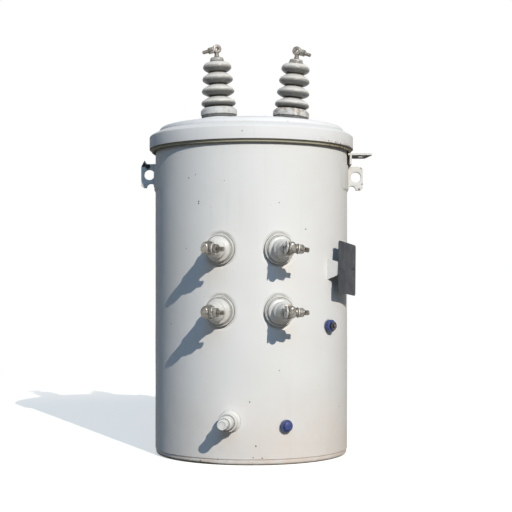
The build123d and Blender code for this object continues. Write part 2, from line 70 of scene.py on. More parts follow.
def mesh_of(name, form, closed=True):
    """A mesh in metres, its doubled points merged and a closed form's faces turned outward."""
    mesh = bpy.data.meshes.new(name)
    mesh.from_pydata([point * mm for point in form.points], [], form.faces)
    work = bmesh.new()
    work.from_mesh(mesh)
    bmesh.ops.remove_doubles(work, verts=work.verts, dist=0.01 * mm)
    if closed:
        bmesh.ops.recalc_face_normals(work, faces=work.faces)
    work.to_mesh(mesh)
    work.free()
    return mesh


def piece(name, form, material, stands_for=(), sharp=40, closed=True):
    """One object from a form, riding on the one body."""
    mesh = mesh_of(name, form, closed)
    mesh.shade_smooth()
    mesh.set_sharp_from_angle(angle=math.radians(sharp))
    mesh.materials.append(material)
    made = bpy.data.objects.new(name, mesh)
    bpy.context.scene.collection.objects.link(made)
    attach(made, "root")
    if stands_for:
        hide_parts(*stands_for)
    return made


def soften(corners, closed=True, steps=4):
    """An outline whose corners (x, y) or (x, y, radius) are rounded."""
    line = []
    count = len(corners)
    for i, corner in enumerate(corners):
        here = Vector(corner[:2])
        ends = not closed and i in (0, count - 1)
        if len(corner) < 3 or ends:
            line.append(here)
            continue
        before = Vector(corners[i - 1][:2]) - here
        after = Vector(corners[(i + 1) % count][:2]) - here
        half = before.angle(after) / 2
        reach = min(corner[2] / math.tan(half), 0.48 * before.length, 0.48 * after.length)
        radius = reach * math.tan(half)
        middle = (before.normalized() + after.normalized()).normalized()
        centre = here + middle * radius / math.sin(half)
        start = here + before.normalized() * reach - centre
        end = here + after.normalized() * reach - centre
        turn = math.atan2(start.x * end.y - start.y * end.x, start.dot(end))
        for k in range(steps + 1):
            angle = turn * k / steps
            line.append(centre + Matrix.Rotation(angle, 2) @ start)
    return [tuple(point) for point in line]


def flowing(points, steps=5):
    """A smooth line through the points."""
    line = []
    last = len(points) - 1
    for i in range(last):
        a, b, c, d = (Vector(points[min(max(k, 0), last)]) for k in (i - 1, i, i + 1, i + 2))
        for k in range(steps):
            t = k / steps
            line.append(tuple(0.5 * (2 * b + (c - a) * t + (2 * a - 5 * b + 4 * c - d) * t ** 2
                                     + (3 * b - a - 3 * c + d) * t ** 3)))
    return line + [tuple(points[last])]


def spun(column_at, steps=96):
    """A skin about Z. column_at gives the (radius, height) points at an angle, from low to high."""
    points, faces = [], []
    for i in range(steps):
        angle = tau * i / steps
        column = column_at(angle)
        points += [(r * math.cos(angle), r * math.sin(angle), z) for r, z in column]
    rows = len(column)
    for i in range(steps):
        a, b = i * rows, (i + 1) % steps * rows
        faces += [[a + k, b + k, b + k + 1, a + k + 1] for k in range(rows - 1)]
    return points, faces


def lathe(profile, steps=96):
    return spun(lambda angle: profile, steps)


def ring(profile, steps=96):
    """A closed profile turned about Z."""
    return lathe(list(profile) + [profile[0]], steps)


def washer(inner, outer, low, high, edge=0.6, steps=64):
    return ring(soften([(inner, low), (outer, low, edge), (outer, high, edge), (inner, high)],
                       steps=3), steps)


def drum(radius, low, high, edge=0.8, steps=64):
    return lathe(soften([(0, low), (radius, low, edge), (radius, high, edge), (0, high)],
                        closed=False, steps=3), steps)


def hex_nut(flats, low, high, bore=0.0, both=True):
    """A hexagonal nut or head about Z, its corners turned off at 30 degrees."""
    crown = 0.47 * flats
    slope = math.tan(math.radians(30))

    def column(angle):
        turn = angle % (tau / 6) - tau / 12
        reach = flats / 2 / math.cos(turn) * 0.985
        drop = max(reach - crown, 0) * slope
        base = low + drop if both else low
        return [(bore, low), (min(crown, reach), low), (reach, base), (reach, high - drop),
                (min(crown, reach), high), (bore, high)]

    return spun(column, 96)


def threaded(radius, low, high, pitch=1.25, start=0.0):
    """A threaded rod about Z with a turned-off end."""
    rows = max(int((high - low) / pitch * 4), 4)
    depth = 0.55 * pitch

    def column(angle):
        line = [(start, low)]
        for k in range(rows + 1):
            z = low + (high - low) * k / rows
            wave = abs(2 * ((z / pitch - angle / tau) % 1) - 1)
            line.append((min(radius - depth * wave, radius - 0.9 + high - z), z))
        return line + [(0, high)]

    return spun(column, 32)


def inset(outline, distance):
    """Every point moved to the left of its outline's direction."""
    moved = []
    count = len(outline)
    for i, point in enumerate(outline):
        here = Vector(point)
        a = (here - Vector(outline[i - 1])).normalized()
        b = (Vector(outline[(i + 1) % count]) - here).normalized()
        left = Vector((-a.y - b.y, a.x + b.x)).normalized()
        cosine = max(left.dot(Vector((-a.y, a.x))), 0.5)
        moved.append(tuple(here + left * distance / cosine))
    return moved


def plate(outline, low, high, edge=0.7, holes=()):
    """A flat plate with rounded edges. Outlines run anticlockwise, holes too."""
    loops = [outline] + [list(reversed(hole)) for hole in holes]
    points, faces, caps = [], [], []
    levels = [(edge - x, low + edge - y) for x, y in
              [(edge * math.sin(math.radians(30 * k)), edge * math.cos(math.radians(30 * k)))
               for k in range(4)]]
    levels += [(d, high - (z - low)) for d, z in reversed(levels)]
    for loop in loops:
        start = len(points)
        count = len(loop)
        for distance, z in levels:
            points += [(x, y, z) for x, y in inset(loop, distance)]
        for k in range(len(levels) - 1):
            a, b = start + k * count, start + (k + 1) * count
            faces += [[a + i, a + (i + 1) % count, b + (i + 1) % count, b + i]
                      for i in range(count)]
        caps.append((start, start + (len(levels) - 1) * count, count))
    flat = [[Vector((x, y, 0)) for x, y in inset(loop, edge)] for loop in loops]
    low_index = [start + i for start, _, count in caps for i in range(count)]
    high_index = [top + i for _, top, count in caps for i in range(count)]
    for a, b, c in tessellate_polygon(flat):
        faces.append([low_index[c], low_index[b], low_index[a]])
        faces.append([high_index[a], high_index[b], high_index[c]])
    return points, faces


def capped_sweep(points, rows):
    """A solid through closed sections of so many points each, both its ends closed."""
    last = len(points) - rows
    faces = [[a + k, a + (k + 1) % rows, a + rows + (k + 1) % rows, a + rows + k]
             for a in range(0, last, rows) for k in range(rows)]
    return Form((points, faces + [list(range(rows))[::-1], list(range(last, last + rows))]))


def circle(x, y, radius, steps=48):
    return [(x + radius * math.cos(tau * i / steps), y + radius * math.sin(tau * i / steps))
            for i in range(steps)]


def bead(path, width=5.0, height=2.0, ripple=2.6, closed=False):
    """A weld bead along (point, surface normal) pairs about a millimetre apart."""
    points, faces = [], []
    arc = 7
    count = len(path)
    travelled = 0.0
    for i, (here, normal) in enumerate(path):
        after = path[(i + 1) % count][0] if closed or i + 1 < count else here
        before = path[i - 1][0] if closed or i else here
        along = (after - before).normalized()
        side = along.cross(normal).normalized()
        travelled += (here - before).length
        wave = (travelled / ripple) % 1
        swell = 0.82 + 0.25 * math.sqrt(wave) + 0.12 * noise.noise(here * 0.15)
        for k in range(arc):
            a = math.pi * k / (arc - 1)
            point = (here + side * (width / 2 * swell * math.cos(a))
                     + normal * (height * swell * math.sin(a) - 0.4)
                     + along * (0.7 * ripple * math.sin(a)))
            points.append(point)
    last = count if closed else count - 1
    for i in range(last):
        a, b = i * arc, (i + 1) % count * arc
        faces += [[a + k, b + k, b + k + 1, a + k + 1] for k in range(arc - 1)]
    if not closed:
        faces += [list(range(arc)), list(range((count - 1) * arc, count * arc))[::-1]]
    return points, faces


def run(points, step=0.9):
    """Points spaced evenly along straight stretches."""
    line = []
    for a, b in zip(points, points[1:]):
        a, b = Vector(a), Vector(b)
        count = max(int((b - a).length / step), 1)
        line += [a + (b - a) * k / count for k in range(count)]
    return line + [Vector(points[-1])]


def eased(t):
    """Goes smoothly from 0 to 1 as t does, and stays there beyond."""
    t = min(max(t, 0), 1)
    return t * t * (3 - 2 * t)


# Places -------------------------------------------------------------------------------------

def on_side(azimuth, z, radius):
    a = math.radians(azimuth)
    return Vector((radius * math.sin(a), -radius * math.cos(a), z))


def out_at(azimuth):
    return on_side(azimuth, 0, 1)


def side_place(azimuth, z, radius=0.0):
    """Local x is to the right, y up and z outward, at a place on the tank's side."""
    a = math.radians(azimuth)
    out = out_at(azimuth)
    place = Matrix((Vector((math.cos(a), math.sin(a), 0)), Vector((0, 0, 1)), out))
    place = place.transposed().to_4x4()
    place.translation = out * radius + Vector((0, 0, z))
    return place


def moved(x, y, z):
    return Matrix.Translation((x, y, z))


def turned(degrees, axis):
    return Matrix.Rotation(math.radians(degrees), 4, axis)


# The CAD's sizes, in millimetres
tank_radius = 205.0
shell_t = 3.0
tank_height = 656.0
pan_height = 13.0
pan_radius = 203.5
rim_radius = 213.8
brim_bottom = 661.0
brim_top = 664.0
cover_radius = 197.8
crown_z = 711.0
crown_sphere = 965.0
hv_x = {"left": -69.0, "right": 84.2}
hv_lean_angles = {"left": 2.2, "right": 5.5}
hv_droop_angles = {"left": 16.0, "right": 16.0}
hv_turn_angles = {"left": 24.0, "right": -24.0}
hv_pad_rises = {"left": 6.0, "right": 3.6}
lv_turn_angles = {"upper_left": 4.0, "upper_right": 6.0, "lower_left": 1.5, "lower_right": 2.0}
lv_seat_radius = 37.0
lv_seat_depth = math.sqrt(tank_radius ** 2 - lv_seat_radius ** 2)


def middle_of(node):
    low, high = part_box(node)
    return (low + high) / 2 / mm


def azimuth_of(node):
    middle = middle_of(node)
    return math.degrees(math.atan2(middle.x, -middle.y))


def dome_z(r):
    return crown_z - crown_sphere + math.sqrt(crown_sphere ** 2 - r ** 2)


lv_places = {}
for row in ("upper", "lower"):
    for side in ("left", "right"):
        stud = f"lv_{row}_{side}_stud"
        lv_places[f"{row}_{side}"] = side_place(azimuth_of(stud), middle_of(stud).z,
                                                lv_seat_depth)

hv_places = {}
for side, x in hv_x.items():
    lean = math.radians(hv_lean_angles[side])
    facing = math.copysign(1, x)
    along = Vector((facing * math.sin(lean), 0, math.cos(lean)))
    out = Vector((facing * math.cos(lean), 0, -math.sin(lean)))
    place = Matrix((out, along.cross(out), along)).transposed().to_4x4()
    place.translation = (x, 0, dome_z(x) + hv_pad_rises[side])
    hv_places[side] = place


# Materials ----------------------------------------------------------------------------------

class Look:
    """A procedural material, its patterns in the row frame's metres."""

    def __init__(self, name):
        self.material = bpy.data.materials.new(name)
        self.material.use_nodes = True
        self.tree = self.material.node_tree
        self.surface = self.tree.nodes["Principled BSDF"]
        self.where = self.node("TexCoord").outputs["Object"]

    def fill(self, socket, value):
        """Links a socket to another or sets its value. None leaves it as it is."""
        if isinstance(value, bpy.types.NodeSocket):
            self.tree.links.new(value, socket)
        elif value is not None:
            socket.default_value = value

    def node(self, kind, *values, settings=(), **named):
        made = self.tree.nodes.new("ShaderNode" + kind)
        for key, value in dict(settings).items():
            setattr(made, key, value)
        for key, value in list(enumerate(values)) + list(named.items()):
            self.fill(made.inputs[key], value)
        return made

    def maths(self, operation, a, b):
        return self.node("Math", a, b, settings={"operation": operation}).outputs[0]

    def stretched(self, x, y, z):
        return self.node("Mapping", self.where, Scale=(x, y, z)).outputs[0]

    def noise(self, scale, detail=3.0, rough=0.55, where=None):
        made = self.node("TexNoise", Vector=where or self.where, Scale=scale, Detail=detail,
                         Roughness=rough)
        return made.outputs[0]

    def band(self, value, low, high, a=0.0, b=1.0):
        """Goes smoothly from a to b as the value goes from low to high."""
        made = self.node("MapRange", value, low, high, a, b,
                         settings={"interpolation_type": "SMOOTHSTEP"})
        return made.outputs[0]

    def mix(self, amount, a, b):
        return self.node("MixRGB", amount, rgb(a), rgb(b)).outputs[0]

    def near(self, point, radius, soft=0.5, where=None):
        """1 inside a ball about a point in millimetres, 0 outside it."""
        made = self.node("VectorMath", where or self.where, tuple(v * mm for v in point),
                         settings={"operation": "DISTANCE"})
        return self.band(made.outputs["Value"], radius * mm, radius * (1 - soft) * mm)

    def chained(self, operation, total, *values):
        for value in values:
            total = self.maths(operation, total, value)
        return total

    def most(self, *values):
        return self.chained("MAXIMUM", *values)

    def times(self, *values):
        return self.chained("MULTIPLY", *values)

    def part(self, axis, where=None):
        return self.node("SeparateXYZ", where or self.where).outputs[axis]

    def facing(self, axis):
        return self.part(axis, self.node("NewGeometry").outputs["Normal"])

    def corner(self, reach, open_share=0.75, closed_share=0.35):
        """1 in the corners between surfaces, where shade falls and dirt gathers, 0 in the open: a
        mask for painted shade.
        """
        made = self.node("AmbientOcclusion", Distance=reach * mm, settings={"samples": 6})
        return self.band(made.outputs["AO"], open_share, closed_share)

    def bump(self, height, depth, under=None):
        return self.node("Bump", Strength=1.0, Distance=depth * mm, Height=height,
                         Normal=under).outputs[0]

    def finish(self, color, rough=0.5, normal=None, **fixed):
        fixed.update(Base_Color=rgb(color), Roughness=rough, Normal=normal)
        for key, value in fixed.items():
            self.fill(self.surface.inputs[key.replace("_", " ")], value)
        return self.material


def rgb(value):
    return (*value, 1.0) if isinstance(value, tuple) and len(value) == 3 else value


def wobbled(look, scale, reach):
    """The place in space, pushed about by a noise, for marks with ragged edges."""
    push = look.node("TexNoise", Vector=look.where, Scale=scale, Detail=2.0).outputs["Color"]
    push = look.node("VectorMath", push, (0.5, 0.5, 0.5), settings={"operation": "SUBTRACT"})
    push = look.node("VectorMath", push.outputs[0], settings={"operation": "SCALE"},
                     Scale=reach * mm)
    return look.node("VectorMath", look.where, push.outputs[0]).outputs[0]


def tiny_specks(look, scale, share, size):
    """Scattered dots: a mask that is 1 inside a few of the cells' centres."""
    cells = look.node("TexVoronoi", Vector=look.where, Scale=scale)
    chosen = look.band(look.part(0, cells.outputs["Color"]), share, share - 0.02)
    return look.times(chosen, look.band(cells.outputs["Distance"], size, size * 0.6))


# marks on the tank: azimuth, height, size
tank_marks = ((-1, 126, 2.0), (32, 469, 2.0), (-57, 313, 2.0), (-53, 278, 1.8), (-40, 431, 1.8),
              (-38, 573, 2.0), (-33, 578, 1.8), (-31, 524, 2.6), (-31, 520, 2.0),
              (2.5, 39, 2.2), (1, 16.5, 1.8), (6, 15, 1.6), (-19, 11, 1.8), (-30, 5, 3.5))


def painted(name, light, warm, marks=(), grime=0.3, extra=None):
    """Weathered paint. What extra returns is (mask, colour) pairs, laid over it."""
    look = Look(name)
    broad = look.noise(4.5, 3)
    streaks = look.noise(1.0, 4, 0.6, where=look.stretched(55, 55, 2.5))
    color = look.mix(look.band(broad, 0.35, 0.68), light, warm)
    washed = look.times(look.band(streaks, 0.55, 0.78), look.band(broad, 0.3, 0.6, 0.1, grime))
    color = look.mix(washed, color, (0.60, 0.58, 0.53))
    ragged = wobbled(look, 300, 4)
    for mask, tone in extra(look, ragged) if extra else ():
        color = look.mix(mask, color, tone)
    dark = look.most(tiny_specks(look, 55, 0.07, 0.09),
                     look.times(tiny_specks(look, 160, 0.05, 0.12), 0.6),
                     *[look.near(place, size, 0.35, ragged) for place, size in marks])
    color = look.mix(look.times(dark, 0.85), color, (0.14, 0.11, 0.09))
    # Painted shade in the corners, where dirt also gathers.
    color = look.mix(look.times(look.corner(7), 0.55), color, (0.20, 0.18, 0.14))
    normal = look.bump(look.noise(420, 2, 0.5), 0.035)
    normal = look.bump(look.noise(24, 2, 0.4), 0.5, normal)
    normal = look.bump(look.maths("MULTIPLY", dark, -1.0), 0.12, normal)
    rough = look.band(look.noise(38, 4), 0.2, 0.8, 0.52, 0.64)
    return look.finish(color, rough, normal, Specular_IOR_Level=0.03)


def foot_dirt_and_shade(look, ragged):
    """Beige stains low on the right, and a dark line at the very bottom, thicker on the left: dirt
    with painted shade.
    """
    z = look.part("Z")
    x = look.part("X")
    patch = look.noise(14, 4, 0.6)
    low = look.times(look.band(z, 0.2, 0.02), look.band(x, -0.18, 0.14, 0.3, 0.6),
                     look.band(patch, 0.2, 0.6))
    pink = look.times(look.band(z, 0.015, 0.012), look.band(look.noise(45, 4), 0.35, 0.6), 0.6)
    spots = look.times(look.band(z, 0.016, 0.01), look.band(look.noise(160, 3), 0.65, 0.7), 0.5)
    # Painted shade with dirt: a dark line along the very bottom, thicker on the left.
    thick = look.band(x, -0.02, -0.12, 0.001, 0.0055)
    above = look.maths("SUBTRACT", look.part("Z", ragged), thick)
    line = look.times(look.band(above, 0.001, -0.001),
                      look.band(look.noise(26, 3), 0.3, 0.55, 0.5, 0.97))
    return ((low, (0.73, 0.63, 0.545)), (pink, (0.72, 0.60, 0.50)), (spots, (0.30, 0.19, 0.12)),
            (line, (0.055, 0.04, 0.028)))


def band_dirt_and_shade(look, ragged):
    """Painted shade with olive dirt in the hem, less dark across its roll, and chips of rust along
    the lower edge on the right.
    """
    z = look.part("Z")
    # Painted shade with olive dirt on the hem, below the band's face.
    hem_shade_and_dirt = look.times(look.band(z, 0.6466, 0.6458), 0.9)
    # Painted shade, less dark, across the hem's roll.
    roll_shade = look.times(look.band(z, 0.6446, 0.6438), look.band(z, 0.6398, 0.6404), 0.9)
    face_edge = look.band(look.part("Z", ragged), 0.6505, 0.6478)
    chips = look.times(face_edge, look.band(look.part("X"), 0.142, 0.158),
                       look.band(look.noise(260, 4, 0.65), 0.53, 0.57))
    drips = look.times(look.band(z, 0.662, 0.648), look.band(look.part("X"), 0.09, 0.18),
                       look.band(look.noise(60, 4), 0.5, 0.62), 0.3)
    return ((drips, (0.55, 0.44, 0.34)), (hem_shade_and_dirt, (0.13, 0.12, 0.085)),
            (roll_shade, (0.45, 0.425, 0.32)), (chips, (0.19, 0.12, 0.07)))


def lug_dirt(look, ragged):
    """Black dirt on top of the lugs, darker brown on all that faces down, chips at their corners.
    """
    top = look.times(look.band(look.facing("Z"), 0.5, 0.8), look.band(look.part("X"), -0.15, -0.2),
                     look.band(look.noise(120, 3), 0.3, 0.5))
    top = look.most(top, look.near((-222, -5, 612), 8, 0.45, ragged),
                    look.near((-231, -5, 615), 6, 0.4, ragged))
    under = look.times(look.band(look.facing("Z"), -0.4, -0.7), 0.7)
    corners = look.most(look.near((236, -4, 608), 3, 0.4, ragged),
                        look.near((237, -4, 573), 2.2, 0.4, ragged),
                        look.near((231, -4, 563), 3, 0.4, ragged))
    return ((top, (0.06, 0.05, 0.04)), (under, (0.30, 0.24, 0.17)), (corners, (0.17, 0.13, 0.10)))


def fitting_shade_and_dirt(look, ragged):
    """Painted shade: dark in the grooves, where dirt also gathers, and a grey on everything that
    faces down, under the ledges.
    """
    grooves = look.times(look.corner(5, 0.9, 0.55), 0.9)
    under = look.times(look.band(look.facing("Z"), -0.5, -0.85), 0.6)
    return ((under, (0.26, 0.24, 0.20)), (grooves, (0.055, 0.045, 0.032)))


def ledge_shade(look, ragged):
    """Painted shade: a dark colour on everything that faces down."""
    return ((look.band(look.facing("Z"), -0.4, -0.8, 0, 0.95), (0.07, 0.065, 0.05)),)


def glaze(name, light, dark, dirt, low_sides=None, crevice=5, **fixed):
    look = Look(name)
    facing = look.facing("Z")
    color = look.mix(look.band(look.noise(16, 4), 0.3, 0.7), light, dark)
    # Painted shade: rims and undersides, which face down, are darker than the tops.
    if low_sides:
        rim, under = low_sides
        rough_edge = look.maths("ADD", facing, look.band(look.noise(110, 4), 0.2, 0.8, -0.08, 0.08))
        color = look.mix(look.band(rough_edge, 0.5, 0.05), color, rim)
        color = look.mix(look.band(rough_edge, -0.1, -0.5), color, under)
    dust = look.times(look.band(look.noise(70, 4), 0.52, 0.7), 0.3)
    color = look.mix(dust, color, dirt)
    dots = tiny_specks(look, 140, 0.06, 0.14)
    color = look.mix(look.times(dots, 0.7), color, (0.12, 0.09, 0.06))
    # Painted shade in the corners, where dirt also gathers.
    color = look.mix(look.times(look.corner(crevice, 0.85, 0.5), 0.9), color, (0.08, 0.07, 0.055))
    rough = look.band(look.noise(60, 3), 0.25, 0.75, 0.3, 0.45)
    normal = look.bump(look.noise(60, 2, 0.4), 0.15)
    return look.finish(color, rough, normal, **fixed)


def metal(name, light, dark, stain, metallic=0.5, rough=(0.3, 0.5), crevice=3.5):
    look = Look(name)
    color = look.mix(look.band(look.noise(90, 4), 0.35, 0.65), light, dark)
    blotch = look.band(look.noise(190, 5, 0.65), 0.52, 0.62)
    color = look.mix(look.times(blotch, 0.75), color, stain)
    # Painted shade in the corners, where dirt also gathers.
    color = look.mix(look.times(look.corner(crevice, 0.85, 0.45), 0.95), color,
                     (0.035, 0.028, 0.02))
    uneven = look.band(look.noise(240, 3), 0.3, 0.75, *rough)
    normal = look.bump(look.noise(650, 4, 0.6), 0.09)
    normal = look.bump(look.noise(160, 3, 0.5), 0.16, normal)
    return look.finish(color, uneven, normal, Metallic=metallic)


def plain_surface(name, light, dark, grain=500, depth=0.06, rough=(0.45, 0.6), **fixed):
    """Rubber, plastic and dark paint: two close tones, dust, painted shade in the corners and a
    fine grain.
    """
    look = Look(name)
    color = look.mix(look.band(look.noise(60, 4), 0.35, 0.65), light, dark)
    dust = look.times(look.band(look.noise(35, 5, 0.65), 0.5, 0.72), 0.3)
    color = look.mix(dust, color, tuple(0.5 * v + 0.1 for v in light))
    scuffs = look.band(look.noise(1.0, 3, 0.5, where=look.stretched(900, 900, 60)), 0.66, 0.72)
    color = look.mix(look.times(scuffs, 0.25), color, tuple(0.6 * v + 0.14 for v in light))
    color = look.mix(look.times(look.corner(4, 0.8, 0.4), 0.8), color,
                     tuple(0.15 * v for v in light))
    normal = look.bump(look.noise(grain, 3, 0.55), depth)
    return look.finish(color, look.band(look.noise(45, 3), 0.3, 0.7, *rough), normal, **fixed)


shell_marks = [(on_side(azimuth, height, tank_radius), size)
               for azimuth, height, size in tank_marks]
tank_paint = painted("tank_paint", (0.80, 0.785, 0.75), (0.77, 0.75, 0.705), shell_marks,
                     extra=foot_dirt_and_shade)
fitting_paint = painted("fitting_paint", (0.77, 0.75, 0.71), (0.71, 0.685, 0.63), grime=0.6,
                        extra=fitting_shade_and_dirt)
bracket_paint = painted("bracket_paint", (0.77, 0.75, 0.71), (0.71, 0.685, 0.63), grime=0.6,
                        extra=ledge_shade)
lug_paint = painted("lug_paint", (0.78, 0.76, 0.72), (0.72, 0.695, 0.64), grime=0.6,
                    extra=lug_dirt)
cover_paint = painted("cover_paint", (0.83, 0.82, 0.80), (0.80, 0.785, 0.755))
band_paint = painted("band_paint", (0.82, 0.805, 0.78), (0.79, 0.77, 0.735), extra=band_dirt_and_shade)
# Its last two colours are the painted shade of the rims and of the undersides.
hv_glaze = glaze("hv_glaze", (0.75, 0.715, 0.66), (0.67, 0.635, 0.58), (0.40, 0.37, 0.31),
                 ((0.30, 0.285, 0.245), (0.155, 0.155, 0.145)), Specular_IOR_Level=0.4)
lv_glaze = glaze("lv_glaze", (0.72, 0.70, 0.65), (0.60, 0.58, 0.53), (0.40, 0.36, 0.30),
                 crevice=2.2, Specular_IOR_Level=0.5, Coat_Weight=0.3, Coat_Roughness=0.2)
cap_metal = metal("cap_metal", (0.46, 0.45, 0.41), (0.38, 0.37, 0.335), (0.20, 0.17, 0.13), 0.1,
                  (0.5, 0.65), crevice=5.0)
tinned_metal = metal("tinned_metal", (0.37, 0.34, 0.30), (0.24, 0.215, 0.18), (0.09, 0.07, 0.05),
                     0.55, crevice=4.5)
clamp_metal = metal("clamp_metal", (0.34, 0.32, 0.28), (0.19, 0.178, 0.15), (0.07, 0.058, 0.045),
                    0.72, (0.26, 0.42), crevice=5.0)
washer_metal = metal("washer_metal", (0.74, 0.72, 0.68), (0.62, 0.59, 0.55), (0.30, 0.25, 0.20),
                     0.15, crevice=0.8)
dark_steel = metal("dark_steel", (0.13, 0.125, 0.12), (0.06, 0.057, 0.054), (0.10, 0.06, 0.035),
                   0.8, (0.25, 0.4))
rubber = plain_surface("gasket_rubber", (0.035, 0.034, 0.033), (0.02, 0.02, 0.02),
                       rough=(0.6, 0.8))
worn_rubber = plain_surface("worn_rubber", (0.15, 0.145, 0.135), (0.10, 0.098, 0.09),
                            rough=(0.7, 0.85))
plate_paint = plain_surface("nameplate_paint", (0.040, 0.043, 0.050), (0.030, 0.033, 0.039),
                            grain=900, depth=0.04, rough=(0.45, 0.6), Specular_IOR_Level=0.35)
blue_plastic = plain_surface("blue_plastic", (0.04, 0.065, 0.22), (0.025, 0.045, 0.16),
                             rough=(0.35, 0.5))


# Tank ---------------------------------------------------------------------------------------

seat_flat = 31.0
seat_reach = 38.0


def pressed_depth(azimuth, z):
    """The shell's radius, flat round seats pressed in under the low voltage bushings."""
    a = math.radians(azimuth)
    unevenness = noise.noise(Vector((math.sin(a) * 3, math.cos(a) * 3, z / 90)))
    radius = tank_radius + 0.35 * unevenness
    for place in lv_places.values():
        local = place.inverted() @ on_side(azimuth, z, tank_radius)
        reach = math.hypot(local.x, local.y)
        if local.z < -20 or reach > seat_reach:
            continue
        flat = lv_seat_depth / math.cos(math.asin(min(max(local.x / tank_radius, -1), 1)))
        t = eased((reach - seat_flat) / (seat_reach - seat_flat))
        radius = flat * (1 - t) + radius * t
    return radius


def make_shell():
    columns = [-180 + 2 * i for i in range(75)] + [-30 + 0.5 * i for i in range(120)]
    columns += [30 + 2 * i for i in range(75)]
    rows = [pan_height - 0.4 + 13.1 * i for i in range(19)]
    rows += [262 + 1.6 * i for i in range(131)] + [471.6 + 12 * i for i in range(15)]
    rows += [tank_height]
    points = [on_side(a, z, pressed_depth(a, z)) for z in rows for a in columns]
    inner = (tank_height, tank_height / 2, pan_height)
    points += [on_side(a, z, tank_radius - shell_t) for z in inner for a in columns]
    count = len(columns)
    total = len(rows) + len(inner)
    faces = []
    for k in range(total):
        low, high = k * count, (k + 1) % total * count
        faces += [[low + i, low + (i + 1) % count, high + (i + 1) % count, high + i]
                  for i in range(count)]
    return Form((points, faces))


def seam_path(radius, z, step=0.35):
    count = int(360 / step)
    return [(on_side(step * i, z, radius), (out_at(step * i) - Vector((0, 0, 1))).normalized())
            for i in range(count)]


def dress(node, material):
    """Gives a node that is kept from the CAD its material."""
    mesh = nodes[node].data
    mesh.materials.clear()
    mesh.materials.append(material)


def round_edges(node, width):
    bevel = nodes[node].modifiers.new("edges", "BEVEL")
    bevel.width = width * mm
    bevel.segments = 3
    bevel.limit_method = "ANGLE"
    bevel.angle_limit = math.radians(40)


pan_wall = pan_radius - 4
piece("shell", make_shell(), tank_paint, ["tank_wall"], sharp=60)
piece("bottom_pan", Form(ring(soften([(0.0, 0), (pan_radius, 0, 6), (pan_radius, pan_height, 0.8),
                                      (pan_wall, pan_height), (pan_wall, 4, 4), (0.0, 4)],
                                     steps=6), 240)), tank_paint, ["tank_bottom"])
piece("bottom_weld", Form(bead(seam_path(tank_radius - 0.9, pan_height - 0.6), 2.6, 1.2,
                               closed=True)), tank_paint)
dress("tank_rim", cover_paint)
dress("cover_gasket", rubber)


# Cover --------------------------------------------------------------------------------------

dome_line = [(r, dome_z(r)) for r in range(176, 0, -8)] + [(0, crown_z)]
pad_profile = flowing([(49, -13), (45, -7.5), (42, -3.4), (40.6, -1.0), (39.4, 0), (30, 0),
                       (0.01, 0)], 4)
cover = Form(lathe(soften([(0, brim_bottom), (rim_radius, brim_bottom, 0.5),
                           (rim_radius, brim_top, 0.8), (cover_radius, brim_top, 2.5),
                           (cover_radius, dome_z(cover_radius), 11)] + dome_line,
                          closed=False, steps=7), 240))
for place in hv_places.values():
    cover.add(lathe(pad_profile, 96), place)
piece("lid", cover, cover_paint, ["cover"], closed=False)

split_azimuth = azimuth_of("band_bolt")
split_z = middle_of("band_bolt").z
band_inner = 214.1
band_t = 3.5
split_half_gap = 7
ear_offset, ear_half_t = 9.5, 2.5
ear_hole_y = band_t + 13


def make_band():
    profile = soften([(208.5, 641.8), (208.5, 638.6, 0.8), (211.2, 639.1, 1.0),
                      (212.9, 640.5, 0.8), (212.9, 643.3, 0.8), (214.8, 644.0),
                      (217.6, 645.7, 1.0), (217.6, 672, 4.0),
                      (208.0, 677.6), (199.0, 682, 1.4), (198.4, 679.2, 0.8), (207.0, 674.4),
                      (214.1, 669.8), (214.1, 648.4)], steps=4)
    half = math.degrees(split_half_gap / band_inner)
    steps = 300
    points = []
    for i in range(steps + 1):
        azimuth = split_azimuth + half + (360 - 2 * half) * i / steps
        a = math.radians(azimuth)
        wave = 0.35 * noise.noise(Vector((math.sin(a) * 4, math.cos(a) * 4, 0)))
        points += [on_side(azimuth, z + wave, r) for r, z in profile]
    return capped_sweep(points, len(profile))


band = make_band()
split_place = side_place(split_azimuth, split_z, band_inner)
ear = plate(soften([(-11, 0), (11, 0), (11, 27.7, 6), (-11, 27.7, 6)]), -ear_half_t,
            ear_half_t, 0.8, [circle(0, ear_hole_y, 4.4, 32)])
for side in (-1, 1):
    across = split_place @ moved(side * ear_offset, 0, 0) @ Matrix(((0, 0, 1, 0), (1, 0, 0, 0),
                                                             (0, 1, 0, 0), (0, 0, 0, 1)))
    band.add(ear, across)
    outward = side * split_place.to_3x3() @ Vector((1, 0, 0)) + out_at(split_azimuth)
    band.add(bead([(split_place @ Vector((side * 12.6, y, band_t - 0.6)), outward.normalized())
                   for y in range(-10, 11)], 4, 1.8))
piece("clamping_band", band, band_paint, ["cover_band"])

bolt_place = split_place @ moved(0, 0, ear_hole_y) @ turned(90, "Y")
bolt = Form(hex_nut(13.6, -18.4, -12), drum(8.6, -12.2, -12, 0.05), threaded(4, -12, 24.8))
bolt.add(hex_nut(13.6, 12, 18.4, 3.5))
piece("band_bolt_and_nut", Form().add(bolt, bolt_place), dark_steel, ["band_bolt"])


# High voltage bushings ----------------------------------------------------------------------

def dress_bushing(prefix, rows):
    """A piece from each (name, node that it replaces, shape, place, material, slot)."""
    for name, node, shape, place, material, slot in rows:
        piece(prefix + name, Form().add(shape, place), material, [prefix + node])


hv_gasket = washer(17.3, 37.5, 0, 7, 1.8, 96)
hv_foot_ring = Form(ring(soften([(31.3, 7), (38.2, 7, 0.8), (39, 8.4, 0.8), (39, 17, 2.6),
                                 (33.2, 22.8, 2.0), (25.3, 23, 0.8), (25.3, 17.3), (31.3, 17.3)],
                                steps=4), 96))
shed_radii = (37.0, 35.0, 32.75, 30.5)
first_shed = 33.6
shed_pitch = 25.7
neck = 17.6
hv_top = 121.4
cap_top = 131.4
eye_z = 149.6


